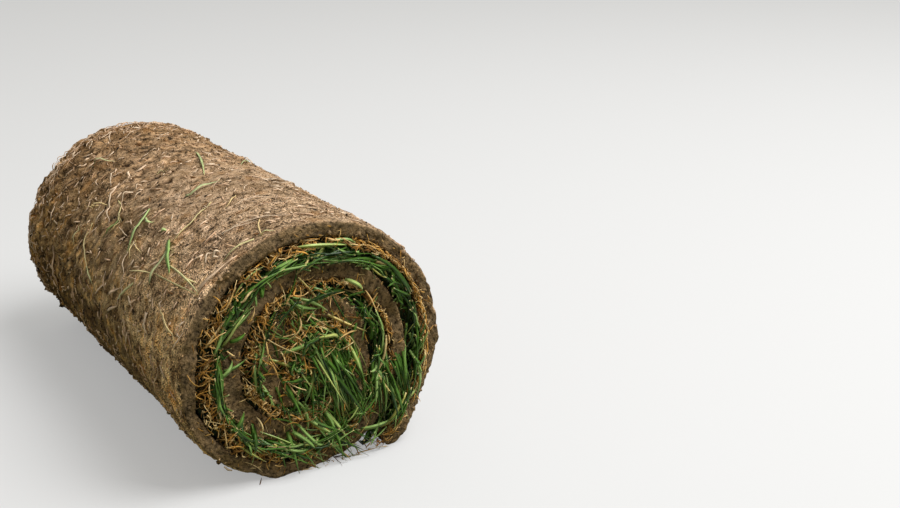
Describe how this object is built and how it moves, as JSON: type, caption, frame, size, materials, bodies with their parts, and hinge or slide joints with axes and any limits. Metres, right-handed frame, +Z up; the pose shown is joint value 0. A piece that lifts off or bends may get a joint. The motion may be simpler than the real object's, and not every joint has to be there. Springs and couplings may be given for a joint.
{
  "type": "roll of turf",
  "caption": "Strip of lawn turf rolled up with the grass inside and the mat of soil outside, lying on its side.",
  "frame": {"origin": "on the ground, under the middle of the roll", "axes": "+Y along the roll's axis, away from the end where the turns are seen to wind inwards anticlockwise; +X towards the side where the tail comes down; +Z up"},
  "size_m": [0.219, 0.4, 0.2011],
  "materials": {
    "soil": "matte crumbly soil bound by roots",
    "grass": "matte grass and straw-coloured dead stems"
  },
  "bodies": {
    "root": {"soil_mat": "soil", "grass": "grass"}
  },
  "joints": []
}
